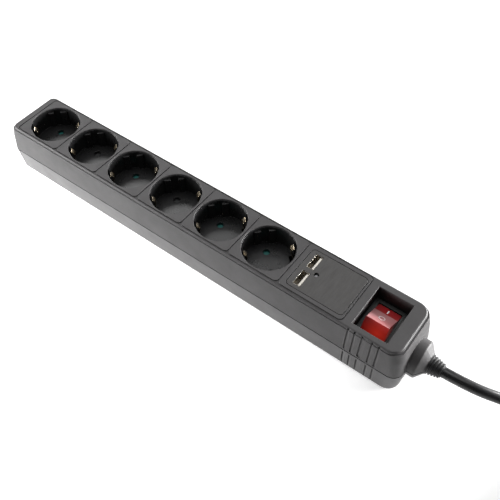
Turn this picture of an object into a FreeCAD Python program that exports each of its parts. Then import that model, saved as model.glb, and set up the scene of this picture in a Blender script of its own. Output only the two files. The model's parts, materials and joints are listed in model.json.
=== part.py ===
"""Six-way power strip with two charging ports, a lit rocker switch and a moulded angled plug.

Frame: +X along the strip towards the cord, +Z up, floor at z = 0, origin under the middle of the housing.
"""
import FreeCAD, Part
import math
import os

V = FreeCAD.Vector
UP = V(0, 0, 1)
ALONG = V(1, 0, 0)

# Housing
HOUSING_LENGTH = 368.4
BOSS_LENGTH = 10.0
HEIGHT = 47.6
SPLIT_Z = 22.6
HALF_WIDTH = 24.6
EDGE_ROUND = 1.4
LEFT_CORNER = 5.0
RIGHT_CORNER = 8.5
# Drop below the top, then how far the side, left and right walls stand in from the seam
SHOULDER = (2.7, 1.3, 3.6, 3.6)
BELLY = (10.0, 0.8, 1.6, 1.7)
PLATEAU = (0.0, 1.8, 5.1, 5.0)
WALL = 2.2
TOP_WALL = 2.4
BASE_WALL = 2.4
LEFT = -(HOUSING_LENGTH + BOSS_LENGTH) / 2
RIGHT = LEFT + HOUSING_LENGTH
NOSE = RIGHT + BOSS_LENGTH

# Lower shell tapers in towards the floor
BASE_SIDE_INSET = 1.2
BASE_END_INSET = 1.4
BASE_CORNERS = (7.0, 9.5)
BASE_ROUND = 5.0
SEAM_GAP = 0.8

# Sockets
SOCKET_COUNT = 6
PITCH = 43.0
FIRST_SOCKET = LEFT + 32.4
SOCKETS = [FIRST_SOCKET + PITCH * i for i in range(SOCKET_COUNT)]
WELL_RADIUS = 19.6
WELL_DEPTH = 17.5
CUP_RADIUS = 20.7
CUP_INNER_RADIUS = 19.3
CUP_TOP = HEIGHT - 0.9
CUP_FLOOR = HEIGHT - WELL_DEPTH
CUP_FLOOR_THICK = 2.5
KEY_OFFSET = 5.3
KEY_WIDTH = 4.7
KEY_TOP = HEIGHT - 3.0
RIM_ROUND = 0.5
PIN_OFFSET = 9.5
PIN_HOLE_RADIUS = 2.6
DIAGONAL = math.sqrt(0.5)
PIN_Y = PIN_OFFSET * DIAGONAL

# Tile pattern on the top
TILE_WIDTH = 42.6
TILE_CORNER = 3.0
GROOVE = 0.9
GROOVE_DEPTH = 0.7
TILES_LEFT = FIRST_SOCKET - PITCH / 2
USB_TILE_LENGTH = 51.5
USB_TILE_LEFT = TILES_LEFT + SOCKET_COUNT * PITCH

# Charging port cover
PLATE_LEFT = FIRST_SOCKET + 241.0
PLATE_RIGHT = FIRST_SOCKET + 286.0
PLATE_HALF_WIDTH = 17.8
PLATE_CORNER = 3.0
PLATE_THICK = 1.6
PLATE_GAP = 0.35
LEDGE = 1.2
PORT_X = FIRST_SOCKET + 248.1
PORT_Y = 8.4
PORT_LONG = 13.1
PORT_SHORT = 5.8
PORT_SHEET = 0.3
TONGUE_THICK = 1.4
BOARD_TOP = HEIGHT - 13.9
BOARD_THICK = 1.6
LED_X = FIRST_SOCKET + 254.8
LED_RADIUS = 1.45
LED_HOLE_RADIUS = 1.9
LED_TOP = HEIGHT - 1.2

# Switch
RECESS_LEFT = FIRST_SOCKET + 294.3
RECESS_RIGHT = FIRST_SOCKET + 320.3
RECESS_NEAR = -18.0
RECESS_FAR = 17.2
BEZEL_TOP = HEIGHT - 12.3
BEZEL_THICK = 1.5
SWITCH_X = FIRST_SOCKET + 307.0
PIVOT_Y = -0.4
PIVOT_Z = HEIGHT - 14.0
ROCKER_WIDTH = 17.6
ROCKER_TILT = 28.0
SWITCH_CLEAR_X = 9.1
SWITCH_CLEAR_Y = 14.3
SWITCH_BOTTOM = 15.0

# Grip ribs: place of the deep edge and length of the ramp
RIBS = ((293.8, 2.4), (298.8, 2.1), (304.3, 4.4), (311.7, 2.1), (316.8, 2.3))
RIB_DEPTH = 0.8

# Cord
CORD_DIAMETER = 7.8
CORD_R = CORD_DIAMETER / 2
BOSS_RADIUS = 13.8
BOSS_NOSE = 4.6
RELIEF_LENGTH = 10.0
CORD_START = NOSE + RELIEF_LENGTH

# Hank: the cord folded round and round on the floor, two turns wide and two deep, on its ties
HANK_LEFT = FIRST_SOCKET + 462.0
HANK_RUN = 88.0
HANK_RIGHT = HANK_LEFT + HANK_RUN
HANK_Y = -9.0
HANK_OUTER_TURN = 31.3
HANK_INNER_TURN = 23.5
TIE_THICK = 0.7
TIE_WIDTH = 10.0
HANK_TOP = TIE_THICK + 2 * CORD_DIAMETER
THIRD_LAYER = HANK_TOP + CORD_R + 0.1

# Plug
PLUG_RADIUS = 18.75
PLUG_HEIGHT = 25.0
PLUG_NECK_Z = 12.0
PLUG_X = HANK_LEFT - 14.0
PLUG_PIN_RADIUS = 2.4
PLUG_PIN_ROOT = 2.2
PLUG_HEADING = -15.0
PLUG_NECK = 42.0

# Screws that hold the halves together
SCREW_XS = [FIRST_SOCKET + d for d in (-22.5, 64.5, 150.5, 236.5, 326.0)]
SCREW_Y = 15.5
SCREWS = [(x, side * SCREW_Y) for x in SCREW_XS for side in (-1, 1)]
POST_RADIUS = 3.0
SCREW_HEAD_Z = 7.0

# Keyholes in the base
KEYHOLE_XS = (FIRST_SOCKET + 43.0, FIRST_SOCKET + 258.0)
KEYHOLE_RADIUS = 4.5
KEYHOLE_SLOT = 2.2
KEYHOLE_REACH = 10.0

# Bars under the sockets, and the cross walls that carry them, measured from the first socket
BAR_START = FIRST_SOCKET - 26.0
BAR_END = FIRST_SOCKET + 289.0
BAR_SUPPORTS = (-24.0, 21.5, 107.5, 193.5, 262.0)

# Cord clamp
CLAMP_X = RIGHT - 8.75
CLAMP_SCREW_Y = 8.4
CORD_INSIDE = RIGHT - 12.3


def box(x0, x1, y0, y1, z0, z1):
    return Part.makeBox(x1 - x0, y1 - y0, z1 - z0, V(x0, y0, z0))


def rod(radius, z0, z1, x=0.0, y=0.0):
    return Part.makeCylinder(radius, z1 - z0, V(x, y, z0), UP)


def outline(x0, x1, half_width, left_radius, right_radius, z, centre_y=0.0):
    """Closed rounded rectangle, lying flat at height z."""
    y0, y1 = centre_y - half_width, centre_y + half_width
    corners = (
        (x0 + left_radius, y0 + left_radius, left_radius, 180),
        (x1 - right_radius, y0 + right_radius, right_radius, 270),
        (x1 - right_radius, y1 - right_radius, right_radius, 0),
        (x0 + left_radius, y1 - left_radius, left_radius, 90),
    )
    arcs = []
    for x, y, radius, start in corners:
        angles = [math.radians(start + step) for step in (0, 45, 90)]
        points = [V(x + radius * math.cos(a), y + radius * math.sin(a), z) for a in angles]
        arcs.append(Part.Arc(*points).toShape())
    edges = []
    for this, after in zip(arcs, arcs[1:] + arcs[:1]):
        edges.append(this)
        edges.append(Part.LineSegment(this.Vertexes[-1].Point, after.Vertexes[0].Point).toShape())
    return Part.Wire(edges)


def slab(x0, x1, half_width, radius, z0, z1, centre_y=0.0):
    wire = outline(x0, x1, half_width, radius, radius, z0, centre_y)
    return Part.Face(wire).extrude(V(0, 0, z1 - z0))


def loft(*wires):
    return Part.makeLoft(list(wires), True, True)


def prism_x(points, x0, x1):
    """Solid with the (y, z) outline, from x0 to x1."""
    wire = Part.makePolygon([V(x0, y, z) for y, z in points + points[:1]])
    return Part.Face(wire).extrude(V(x1 - x0, 0, 0))


def turned(profile, axis_z):
    """Solid of revolution about a line along X at height axis_z; profile is (x, radius) points."""
    start, end = profile[0][0], profile[-1][0]
    points = [V(start, 0, axis_z)] + [V(x, 0, axis_z + r) for x, r in profile] + [V(end, 0, axis_z)]
    face = Part.Face(Part.makePolygon(points + points[:1]))
    return face.revolve(V(0, 0, axis_z), ALONG, 360)


def joined(shapes):
    return shapes[0].multiFuse(shapes[1:]).removeSplitter() if len(shapes) > 1 else shapes[0]


def turned_45(shape, x):
    """Turns a shape made about the origin by 45 degrees, then moves it to a socket."""
    copy = shape.copy()
    copy.rotate(V(0, 0, 0), UP, 45)
    copy.translate(V(x, 0, 0))
    return copy


def tube(points, radius, label=None):
    """Round bar along straight runs joined by tangent arcs as large as the runs allow."""
    points = [V(*p) for p in points]
    edges = []
    last = points[0]
    for before, corner, after in zip(points, points[1:], points[2:]):
        back = (before - corner).normalize()
        on = (after - corner).normalize()
        turn = math.pi - back.getAngle(on)
        reach = 0.45 * min(before.distanceToPoint(corner), corner.distanceToPoint(after))
        bend = reach / math.tan(turn / 2)
        start, end = corner + back * reach, corner + on * reach
        towards = (back + on).normalize()
        middle = corner + towards * (bend / math.cos(turn / 2) - bend)
        edges.append(Part.LineSegment(last, start).toShape())
        edges.append(Part.Arc(start, middle, end).toShape())
        last = end
        if label:
            print(label, "bend radius %.1f mm, turn %.0f degrees" % (bend, math.degrees(turn)))
    edges.append(Part.LineSegment(last, points[-1]).toShape())
    path = Part.Wire(edges)
    ring = Part.Wire(Part.makeCircle(radius, points[0], points[1] - points[0]))
    solid = path.makePipeShell([ring], True, False)
    if label:
        ideal = math.pi * radius**2 * path.Length
        print(label, "length %.1f mm, volume / ideal %.4f" % (path.Length, solid.Volume / ideal))
    return solid


# ---------------------------------------------------------------- housing


def rib_cuts(side, z0, z1, wall0, wall1):
    """Five wedge cuts on one long side: deep at the -X edge, ramping out towards +X.

    The cuts follow the wall, which stands at y = wall0 at height z0 and y = wall1 at height z1.
    """
    cuts = []
    for place, ramp in RIBS:
        x = FIRST_SOCKET + place
        wedge = [V(x, wall0 + 1.0, z0), V(x, wall0 - RIB_DEPTH, z0), V(x + ramp, wall0 + 0.1, z0)]
        wedge.append(V(x + ramp, wall0 + 1.0, z0))
        face = Part.Face(Part.makePolygon(wedge + wedge[:1]))
        cuts.append(face.extrude(V(0, wall1 - wall0, z1 - z0)))
    cut = joined(cuts)
    if side < 0:
        cut = cut.mirror(V(0, 0, 0), V(0, 1, 0))
    return cut


def level(drop, side, left, right, inward=0.0, corners=(LEFT_CORNER, RIGHT_CORNER)):
    """Outline of the housing at a drop below the top, each wall moved in from the seam outline."""
    x0, x1 = LEFT + left + inward, RIGHT - right - inward
    return outline(x0, x1, HALF_WIDTH - side - inward, corners[0], corners[1], HEIGHT - drop)


def boss(lower):
    """Half of the round boss that the cord leaves through."""
    full = RIGHT + BOSS_LENGTH - BOSS_NOSE
    profile = [(RIGHT - 3.0, BOSS_RADIUS), (full - 0.7, BOSS_RADIUS), (full - 0.2, BOSS_RADIUS - 0.2)]
    profile += [(full + 0.3, BOSS_RADIUS - 0.7), (NOSE - 0.4, 8.0), (NOSE, 7.9)]
    whole = turned(profile, SPLIT_Z)
    z0, z1 = (0.0, SPLIT_Z) if lower else (SPLIT_Z, HEIGHT)
    return whole.common(box(RIGHT - 3.0, NOSE + 1.0, -BOSS_RADIUS - 1.0, BOSS_RADIUS + 1.0, z0, z1))


def boss_bore():
    """Stepped bore that grips the flange of the strain relief."""
    profile = [(RIGHT - 5.5, 6.2), (RIGHT + 1.0, 6.2), (RIGHT + 1.0, 9.2), (RIGHT + 3.8, 9.2)]
    return turned(profile + [(RIGHT + 3.8, 7.1), (NOSE + 1.0, 7.1)], SPLIT_Z)


def tile_grooves():
    """Narrow grooves around the seven tiles of the top."""
    half = (TILE_WIDTH + GROOVE) / 2
    right = USB_TILE_LEFT + USB_TILE_LENGTH + GROOVE / 2
    bottom = HEIGHT - GROOVE_DEPTH
    field = slab(TILES_LEFT - GROOVE / 2, right, half, TILE_CORNER + GROOVE / 2, bottom, HEIGHT + 1)
    starts = [TILES_LEFT + PITCH * i for i in range(SOCKET_COUNT)] + [USB_TILE_LEFT]
    lengths = [PITCH] * SOCKET_COUNT + [USB_TILE_LENGTH]
    for start, length in zip(starts, lengths):
        x0, x1 = start + GROOVE / 2, start + length - GROOVE / 2
        field = field.cut(slab(x0, x1, half - GROOVE, TILE_CORNER, bottom - 1, HEIGHT + 2))
    return field


def upper_housing():
    seam = (HEIGHT - SPLIT_Z, 0.0, 0.0, 0.0)
    skirt = loft(level(*seam), level(*BELLY), level(*SHOULDER))
    plateau = Part.Face(level(*PLATEAU)).extrude(V(0, 0, -SHOULDER[0] - 1.0))
    crest = [e for e in plateau.Edges if e.BoundBox.ZMin > HEIGHT - 0.01]
    plateau = plateau.makeFillet(EDGE_ROUND, crest)
    shell = joined([skirt, plateau])
    belly_z = HEIGHT - BELLY[0]
    shoulder_z = HEIGHT - SHOULDER[0]
    rib_spans = (
        (SPLIT_Z + 1.3, belly_z, 0.1, BELLY[1]),
        (belly_z, shoulder_z, BELLY[1], SHOULDER[1]),
        (shoulder_z, HEIGHT - 0.5, PLATEAU[1], PLATEAU[1] + 0.4),
    )
    for side in (-1, 1):
        for z0, z1, inset0, inset1 in rib_spans:
            shell = shell.cut(rib_cuts(side, z0, z1, HALF_WIDTH - inset0, HALF_WIDTH - inset1))
    inner = (3.2, 6.5)
    below = (HEIGHT - SPLIT_Z + 1.0, 0.0, 0.0, 0.0)
    ceiling = (TOP_WALL, SHOULDER[1], SHOULDER[2], SHOULDER[3])
    walls = (below, BELLY, ceiling)
    shell = shell.cut(loft(*[level(*wall, WALL, inner) for wall in walls]))
    posts = []
    for x, y in SCREWS:
        posts.append(rod(POST_RADIUS, SPLIT_Z, HEIGHT - 1.5, x, y))
    recess = box(RECESS_LEFT - 1.6, RECESS_RIGHT + 1.6, RECESS_NEAR - 1.6, RECESS_FAR + 1.6,
                 BEZEL_TOP - BEZEL_THICK - 1.5, HEIGHT - 1.0)
    shell = joined([shell, boss(False), recess] + posts)
    recess_floor = BEZEL_TOP - BEZEL_THICK
    shell = shell.cut(box(RECESS_LEFT, RECESS_RIGHT, RECESS_NEAR, RECESS_FAR, recess_floor, HEIGHT + 1))
    half_x, half_y = SWITCH_CLEAR_X + 1.5, SWITCH_CLEAR_Y + 1.5
    shell = shell.cut(box(SWITCH_X - half_x, SWITCH_X + half_x, PIVOT_Y - half_y, PIVOT_Y + half_y,
                          BEZEL_TOP - 6.0, BEZEL_TOP))
    shell = shell.cut(tile_grooves())
    cuts = [boss_bore()]
    for x in SOCKETS:
        cuts.append(flared_rod(WELL_RADIUS + 0.2, HEIGHT - 3, x))
        cuts.append(rod(CUP_RADIUS + 0.1, HEIGHT - TOP_WALL - 1, CUP_TOP + 0.1, x))
    ledge_z = HEIGHT - PLATE_THICK
    cuts.append(slab(PLATE_LEFT - PLATE_GAP, PLATE_RIGHT + PLATE_GAP, PLATE_HALF_WIDTH + PLATE_GAP,
                     PLATE_CORNER + PLATE_GAP, ledge_z, HEIGHT + 1))
    cuts.append(slab(PLATE_LEFT + LEDGE, PLATE_RIGHT - LEDGE, PLATE_HALF_WIDTH - LEDGE, PLATE_CORNER,
                     HEIGHT - 4, HEIGHT))
    for x, y in SCREWS:
        cuts.append(rod(1.3, SPLIT_Z - 1, SPLIT_Z + 13, x, y))
    for cut in cuts:
        shell = shell.cut(cut)
    return shell.makeFillet(RIM_ROUND, recess_rim(shell))


def recess_rim(shell):
    """The four edges where the switch recess meets the top."""
    rim = []
    for edge in shell.Edges:
        bounds = edge.BoundBox
        flat = bounds.ZMin > HEIGHT - 0.01
        in_length = bounds.XMin > RECESS_LEFT - 0.01 and bounds.XMax < RECESS_RIGHT + 0.01
        in_width = bounds.YMin > RECESS_NEAR - 0.01 and bounds.YMax < RECESS_FAR + 0.01
        if flat and in_length and in_width:
            rim.append(edge)
    return rim


def flared_rod(radius, z0, x):
    """Upright cutter that rolls outwards at the top of the housing, so that it leaves a round rim."""
    low = HEIGHT - RIM_ROUND
    wide = radius + RIM_ROUND
    reach = RIM_ROUND * DIAGONAL
    bend = Part.Arc(V(radius, 0, low), V(wide - reach, 0, low + reach), V(wide, 0, HEIGHT))
    over = HEIGHT + 1
    corners = [V(wide, 0, HEIGHT), V(wide, 0, over), V(0, 0, over), V(0, 0, z0)]
    corners += [V(radius, 0, z0), V(radius, 0, low)]
    edges = [Part.LineSegment(a, b).toShape() for a, b in zip(corners, corners[1:])]
    cutter = Part.Face(Part.Wire(edges + [bend.toShape()])).revolve(V(0, 0, 0), UP, 360)
    cutter.translate(V(x, 0, 0))
    return cutter


def keyhole(x):
    entry = rod(KEYHOLE_RADIUS, -1, BASE_WALL + 0.1, x)
    slot = box(x, x + KEYHOLE_REACH - KEYHOLE_SLOT, -KEYHOLE_SLOT, KEYHOLE_SLOT, -1, BASE_WALL + 0.1)
    return joined([entry, slot, rod(KEYHOLE_SLOT, -1, BASE_WALL + 0.1, x + KEYHOLE_REACH - KEYHOLE_SLOT)])


def busbar_rib(x):
    """Cross wall that carries the earth bar low down and the live and neutral bars above it."""
    half = [(3.4, 6.2), (3.4, 9.0), (10.0, 9.0), (10.0, 12.0)]
    half += [(13.0, 12.0), (13.0, 6.0), (21.6, 6.0), (21.6, 1.5)]
    points = [(y, z) for y, z in half] + [(-y, z) for y, z in reversed(half)]
    return prism_x(points, x - 0.8, x + 0.8)


def lower_housing():
    top = SPLIT_Z - SEAM_GAP
    seam = (HEIGHT - top, 0.0, 0.0, 0.0)
    base = (HEIGHT, BASE_SIDE_INSET, BASE_END_INSET, BASE_END_INSET)
    shell = loft(level(*base, 0.0, BASE_CORNERS), level(*seam))
    shell = shell.makeFillet(BASE_ROUND, [e for e in shell.Edges if e.BoundBox.ZMax < 0.01])
    for side in (-1, 1):
        shell = shell.cut(rib_cuts(side, -1.0, SPLIT_Z - 2.8, HALF_WIDTH - BASE_SIDE_INSET,
                                   HALF_WIDTH - 0.15))
    above = (HEIGHT - SPLIT_Z - 1.0, 0.0, 0.0, 0.0)
    floor = (HEIGHT - BASE_WALL, BASE_SIDE_INSET, BASE_END_INSET, BASE_END_INSET)
    hollow = loft(level(*floor, WALL + 2.4, (5.0, 7.0)), level(*above, WALL, (3.2, 6.5)))
    hollow = hollow.makeFillet(2.5, [e for e in hollow.Edges if e.BoundBox.ZMax < BASE_WALL + 0.01])
    shell = shell.cut(hollow)
    lip_z = top - 3.0
    lip = Part.Face(level(HEIGHT - lip_z, 0.0, 0.0, 0.0, WALL + 0.3)).extrude(V(0, 0, 4.2))
    lip = lip.cut(Part.Face(level(HEIGHT - lip_z, 0.0, 0.0, 0.0, WALL + 1.5)).extrude(V(0, 0, 4.2)))
    lip = lip.cut(box(RIGHT - 16, RIGHT + 1, -14.2, 14.2, 0, HEIGHT))
    ledge = Part.Face(level(HEIGHT - lip_z, 0.0, 0.0, 0.0, 1.0)).extrude(V(0, 0, 2.6))
    ledge = ledge.cut(Part.Face(level(HEIGHT - lip_z, 0.0, 0.0, 0.0, WALL + 1.5)).extrude(V(0, 0, 2.6)))
    seat = boss(True).cut(box(RIGHT - 4, NOSE + 1, -20, 20, top, SPLIT_Z + 1))
    saddle = box(RIGHT - 11.0, RIGHT - 6.5, -11.5, 11.5, 1.5, SPLIT_Z - 0.3)
    parts = [shell, seat, saddle, lip, ledge]
    for x, y in SCREWS:
        parts.append(rod(POST_RADIUS + 0.6, 1.0, SPLIT_Z - 0.1, x, y))
    for place in BAR_SUPPORTS:
        parts.append(busbar_rib(FIRST_SOCKET + place))
    shell = joined(parts)
    cuts = [boss_bore(), turned([(RIGHT - 13, CORD_R), (RIGHT - 5.0, CORD_R)], SPLIT_Z)]
    for side in (-1, 1):
        cuts.append(rod(1.2, SPLIT_Z - 10, SPLIT_Z + 1, CLAMP_X, side * CLAMP_SCREW_Y))
    for x, y in SCREWS:
        cuts.append(rod(1.7, -1, SPLIT_Z + 1, x, y))
        cuts.append(rod(2.9, -1, SCREW_HEAD_Z, x, y))
    for x in KEYHOLE_XS:
        cuts.append(keyhole(x))
    for cut in cuts:
        shell = shell.cut(cut)
    return shell


def housing_screws():
    """Pan-head screws driven up from the base: head with a cross recess, and shank."""
    screws = []
    for x, y in SCREWS:
        head = rod(2.7, SCREW_HEAD_Z - 2.2, SCREW_HEAD_Z, x, y)
        screw = joined([head, rod(1.3, SCREW_HEAD_Z, SPLIT_Z + 11, x, y)])
        for half_x, half_y in ((1.6, 0.3), (0.3, 1.6)):
            slot = box(x - half_x, x + half_x, y - half_y, y + half_y, SCREW_HEAD_Z - 3, SCREW_HEAD_Z - 1)
            screw = screw.cut(slot)
        screws.append(screw)
    return Part.makeCompound(screws)


# ---------------------------------------------------------------- sockets


def socket_cup():
    """Round well about the origin, with the pins in line with Y and the earth clips in line with X."""
    under = CUP_FLOOR - CUP_FLOOR_THICK
    cup = rod(CUP_RADIUS, under, CUP_TOP)
    cup = cup.cut(rod(CUP_INNER_RADIUS, CUP_FLOOR, CUP_TOP + 1))
    bore = rod(CUP_INNER_RADIUS + 0.3, CUP_FLOOR - 1, CUP_TOP)
    keys = []
    for x, side in ((-KEY_OFFSET, -1), (KEY_OFFSET, -1), (-KEY_OFFSET, 1), (KEY_OFFSET, 1)):
        y0, y1 = sorted((side * 16.9, side * 20.0))
        key = box(x - KEY_WIDTH / 2, x + KEY_WIDTH / 2, y0, y1, CUP_FLOOR - 0.5, KEY_TOP)
        inner = [e for e in key.Edges if e.BoundBox.YLength < 0.01 and abs(e.BoundBox.YMin) < 17.0]
        key = key.makeFillet(0.4, [e for e in inner if e.BoundBox.ZMin > CUP_FLOOR])
        keys.append(key.common(bore))
    cup = joined([cup, rod(2.0, under - 5.0, under)] + keys)
    for side in (-1, 1):
        cup = cup.cut(rod(PIN_HOLE_RADIUS, under - 1, CUP_FLOOR + 1, 0, side * PIN_OFFSET))
        x0, x1 = sorted((side * 15.2, side * 20.1))
        cup = cup.cut(box(x0, x1, -3.4, 3.4, under - 1, CUP_FLOOR + 1))
        x0, x1 = sorted((side * 18.4, side * 20.1))
        cup = cup.cut(box(x0, x1, -3.4, 3.4, CUP_FLOOR - 1, CUP_TOP + 1))
    for side in (-1, 1):
        foot = V(0, side * PIN_OFFSET, CUP_FLOOR - 0.3)
        rim = Part.makeCone(PIN_HOLE_RADIUS, PIN_HOLE_RADIUS + 0.3, 0.3, foot)
        cup = cup.cut(rim)
    return cup


def shutter():
    """Turning disc under the floor of a well. At rest its holes lie away from the pin holes."""
    top = CUP_FLOOR - CUP_FLOOR_THICK - 0.3
    disc = rod(14.0, top - 1.5, top)
    disc = disc.cut(rod(2.06, top - 3, top + 1))
    rest = math.radians(40)
    for side in (-1, 1):
        x, y = side * PIN_OFFSET * math.sin(rest), side * PIN_OFFSET * math.cos(rest)
        disc = disc.cut(rod(3.1, top - 3, top + 1, x, y))
    return disc


def shutter_spring():
    """Flat return spring on the pivot of a shutter: a thin open ring with two legs."""
    top = CUP_FLOOR - CUP_FLOOR_THICK - 2.2
    ring = rod(4.2, top - 1.2, top).cut(rod(2.3, top - 2, top + 1))
    leg = box(3.6, 11.0, -0.4, 0.4, top - 1.2, top)
    other = leg.copy()
    other.rotate(V(0, 0, 0), UP, 165)
    return joined([ring, leg, other])


def earth_clip():
    """Springy brass strip: two bowed arms that stand in the well, joined by a bridge below it."""
    thick = 0.6
    half = 2.2
    root = 18.9
    bend_z = 27.5
    face = [(root, bend_z), (18.4, 30.3), (17.2, 34.2), (15.9, 38.8)]
    face += [(15.4, 41.6), (15.9, 43.2), (17.9, 44.7)]
    back = []
    for before, here, after in zip([face[0]] + face, face, face[1:] + [face[-1]]):
        dx, dz = after[0] - before[0], after[1] - before[1]
        size = math.hypot(dx, dz)
        back.append((here[0] + thick * dz / size, here[1] - thick * dx / size))
    back[0] = (root + thick, bend_z)
    edges = []
    for points in (face, back):
        curve = Part.BSplineCurve()
        curve.interpolate([V(x, -half, z) for x, z in points])
        edges.append(curve.toShape())
    for ends in ((face[0], back[0]), (face[-1], back[-1])):
        edges.append(Part.LineSegment(*[V(x, -half, z) for x, z in ends]).toShape())
    tip = Part.Face(Part.Wire(Part.sortEdges(edges)[0])).extrude(V(0, 2 * half, 0))
    arm = joined([tip, box(root, root + thick, -half, half, 7.2, bend_z)])
    bridge = box(-root - thick, root + thick, -half, half, 7.2, 7.8)
    return joined([arm, arm.mirror(V(0, 0, 0), V(1, 0, 0)), bridge])


def contact_pair(x, y):
    """Two springy leaves either side of a plug pin."""
    leaves = []
    for side in (-1, 1):
        y0, y1 = sorted((y + side * 2.45, y + side * 3.05))
        leaves.append(box(x - 3.4, x + 3.4, y0, y1, 9.0, 21.5))
    return leaves


def pin_busbar(side):
    """Flat bar along the strip at one row of pins; side is +1 for live, -1 for neutral."""
    y = side * PIN_Y
    parts = [box(BAR_START, BAR_END, y - 3.05, y + 3.05, 9.0, 9.8)]
    for x in SOCKETS:
        parts += contact_pair(x - side * PIN_Y, y)
    return joined(parts)


def earth_busbar():
    return box(BAR_START, BAR_END, -3.0, 3.0, 6.2, 7.2)


# ---------------------------------------------------------------- charging ports


def usb_cover_plate():
    plate = slab(PLATE_LEFT, PLATE_RIGHT, PLATE_HALF_WIDTH, PLATE_CORNER, HEIGHT - PLATE_THICK, HEIGHT)
    plate = plate.makeFillet(0.3, [e for e in plate.Edges if e.BoundBox.ZMin > HEIGHT - 0.01])
    posts = [rod(2.2, BOARD_TOP, HEIGHT - 1.0, x, y) for x, y in board_posts()]
    plate = joined([plate] + posts)
    for side in (-1, 1):
        x, y = PORT_X, side * PORT_Y
        plate = plate.cut(box(x - PORT_SHORT / 2 - 0.25, x + PORT_SHORT / 2 + 0.25,
                              y - PORT_LONG / 2 - 0.25, y + PORT_LONG / 2 + 0.25, HEIGHT - 3, HEIGHT + 1))
    plate = plate.cut(rod(LED_HOLE_RADIUS, HEIGHT - 4, HEIGHT + 1, LED_X))
    for x, y in board_posts():
        plate = plate.cut(rod(0.9, BOARD_TOP - 1, BOARD_TOP + 6, x, y))
    return plate


def board_posts():
    return [(PLATE_LEFT + dx, side * 13.6) for dx in (15.5, 40.5) for side in (-1, 1)]


def usb_circuit_board():
    board = box(PLATE_LEFT + 2.0, PLATE_RIGHT - 2.0, -16.4, 16.4, BOARD_TOP - BOARD_THICK, BOARD_TOP)
    for x, y in board_posts():
        board = board.cut(rod(1.2, BOARD_TOP - 3, BOARD_TOP + 1, x, y))
    return board


def usb_board_screws():
    screws = []
    for x, y in board_posts():
        low = BOARD_TOP - BOARD_THICK
        screws.append(joined([rod(1.8, low - 1.4, low, x, y), rod(0.9, low - 0.1, BOARD_TOP + 4, x, y)]))
    return Part.makeCompound(screws)


def usb_board_parts():
    """Transformer, two capacitors and a coil that stand on the board or hang below it."""
    x = PLATE_LEFT + 22.0
    low = BOARD_TOP - BOARD_THICK
    pieces = [
        box(x + 1.0, x + 14.0, -7.5, 7.5, BOARD_TOP, BOARD_TOP + 9.0),
        rod(4.0, low - 12.0, low, x - 10.0, 8.0),
        rod(4.0, low - 12.0, low, x - 10.0, -8.0),
        rod(3.0, low - 8.0, low, x + 4.0, 0.0),
        box(x + 9.0, x + 15.0, -9.0, -3.0, low - 3.0, low),
    ]
    return Part.makeCompound(pieces)


def usb_shell(side):
    """Folded steel sleeve of one port, with its mouth up."""
    half_x, half_y = PORT_SHORT / 2, PORT_LONG / 2
    x, y = PORT_X, side * PORT_Y
    top = HEIGHT - 0.15
    sleeve = box(x - half_x, x + half_x, y - half_y, y + half_y, BOARD_TOP, top)
    upright = [e for e in sleeve.Edges if e.BoundBox.ZLength > 10]
    sleeve = sleeve.makeFillet(0.5, upright)
    sheet = PORT_SHEET
    hollow = box(x - half_x + sheet, x + half_x - sheet, y - half_y + sheet, y + half_y - sheet,
                 BOARD_TOP + sheet, top + 1)
    return sleeve.cut(hollow)


def usb_tongue(side):
    """Plastic tongue inside one port, set towards its +X wall."""
    x1 = PORT_X + PORT_SHORT / 2 - PORT_SHEET - 0.25
    y = side * PORT_Y
    tongue = box(x1 - TONGUE_THICK, x1, y - 5.7, y + 5.7, BOARD_TOP + 2.0, HEIGHT - 0.9)
    foot = box(PORT_X - 2.4, x1, y - 6.0, y + 6.0, BOARD_TOP + PORT_SHEET, BOARD_TOP + 2.0)
    return joined([tongue, foot])


def usb_contacts():
    """Four gilt contact strips on the inner face of each tongue."""
    strips = []
    face = PORT_X + PORT_SHORT / 2 - PORT_SHEET - 0.25 - TONGUE_THICK
    for side in (-1, 1):
        for place in (-3.5, -1.0, 1.0, 3.5):
            y = side * PORT_Y + place
            strips.append(box(face - 0.25, face, y - 0.5, y + 0.5, BOARD_TOP + 2.0, HEIGHT - 2.5))
    return Part.makeCompound(strips)


def status_led():
    """Domed light guide that ends a little below the cover plate."""
    shoulder = LED_TOP - LED_RADIUS
    body = rod(LED_RADIUS, BOARD_TOP, shoulder, LED_X)
    dome = Part.makeSphere(LED_RADIUS, V(LED_X, 0, shoulder))
    dome = dome.common(rod(LED_RADIUS, shoulder, HEIGHT, LED_X))
    return joined([body, dome])


# ---------------------------------------------------------------- switch


def switch_frame():
    """Bezel flange on the floor of the recess, and the box below it that the rocker swings in."""
    flange = box(RECESS_LEFT + 0.3, RECESS_RIGHT - 0.3, RECESS_NEAR + 0.3, RECESS_FAR - 0.3,
                 BEZEL_TOP - BEZEL_THICK, BEZEL_TOP)
    wall = 1.2
    x0, x1 = SWITCH_X - SWITCH_CLEAR_X, SWITCH_X + SWITCH_CLEAR_X
    y0, y1 = PIVOT_Y - SWITCH_CLEAR_Y, PIVOT_Y + SWITCH_CLEAR_Y
    body = box(x0 - wall, x1 + wall, y0 - wall, y1 + wall, SWITCH_BOTTOM, BEZEL_TOP - 0.5)
    collar = box(x0 - wall, x1 + wall, y0 - wall, y1 + wall, BEZEL_TOP - 0.5, BEZEL_TOP + 0.5)
    frame = joined([flange, body, collar])
    frame = frame.cut(box(x0, x1, y0, y1, SWITCH_BOTTOM + 1.6, BEZEL_TOP + 2))
    axle = Part.makeCylinder(1.55, 2 * (SWITCH_CLEAR_X + 0.8), V(x0 - 0.8, PIVOT_Y, PIVOT_Z), ALONG)
    frame = frame.cut(axle)
    for x, y in terminal_places():
        frame = frame.cut(box(x - 0.5, x + 0.5, y - 3.2, y + 3.2, SWITCH_BOTTOM - 1, SWITCH_BOTTOM + 3))
    return frame


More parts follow.
